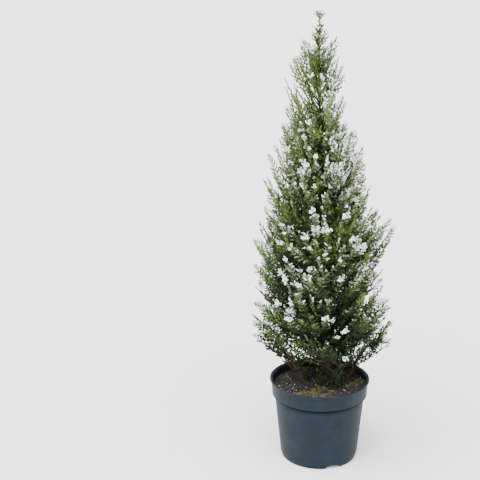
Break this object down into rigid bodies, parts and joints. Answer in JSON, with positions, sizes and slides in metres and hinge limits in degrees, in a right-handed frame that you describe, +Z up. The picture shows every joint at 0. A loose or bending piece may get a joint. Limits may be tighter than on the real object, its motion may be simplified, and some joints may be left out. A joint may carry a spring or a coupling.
{
  "type": "potted lawson cypress",
  "caption": "Narrow conical conifer with upswept toothed sprays and clumps of snow, on a tapering trunk in a round lipped nursery pot filled with soil.",
  "frame": {"origin": "middle of the pot's underside, on the surface that the pot stands on", "axes": "+Z up along the trunk, and -Y is the side that faces the viewer"},
  "size_m": [0.2507, 0.2555, 0.843],
  "materials": {
    "pot_plastic": "matt moulded polypropylene",
    "soil": "crumbly peat compost",
    "bark": "fibrous bark",
    "foliage": "waxy scale leaves"
  },
  "bodies": {
    "root": {"pot": "pot_plastic", "soil": "soil", "trunk": "bark", "side_stem_1": "bark", "side_stem_2": "bark", "side_stem_3": "bark", "side_stem_4": "bark", "bough_2_1": "bark", "bough_2_2": "bark", "bough_2_3": "bark", "bough_2_4": "bark", "bough_2_5": "bark", "bough_3_1": "bark", "bough_3_2": "bark", "bough_3_3": "bark", "bough_3_4": "bark", "bough_3_5": "bark", "bough_4_1": "bark", "bough_4_2": "bark", "bough_4_3": "bark", "bough_4_4": "bark", "bough_5_1": "bark", "bough_5_2": "bark", "bough_5_3": "bark", "bough_5_4": "bark", "foliage_1_1": "foliage", "foliage_1_2": "foliage", "foliage_1_3": "foliage", "foliage_1_4": "foliage", "foliage_2_1": "foliage", "foliage_2_2": "foliage", "foliage_2_3": "foliage", "foliage_2_4": "foliage", "foliage_2_5": "foliage", "foliage_3_1": "foliage", "foliage_3_2": "foliage", "foliage_3_3": "foliage", "foliage_3_4": "foliage", "foliage_3_5": "foliage", "foliage_4_1": "foliage", "foliage_4_2": "foliage", "foliage_4_3": "foliage", "foliage_4_4": "foliage", "foliage_5_1": "foliage", "foliage_5_2": "foliage", "foliage_5_3": "foliage", "foliage_5_4": "foliage", "foliage_6_1": "foliage", "foliage_6_2": "foliage", "foliage_6_3": "foliage", "foliage_7_1": "foliage", "foliage_7_2": "foliage", "foliage_7_3": "foliage", "foliage_8_1": "foliage", "foliage_8_2": "foliage", "foliage_9_1": "foliage"}
  },
  "joints": []
}
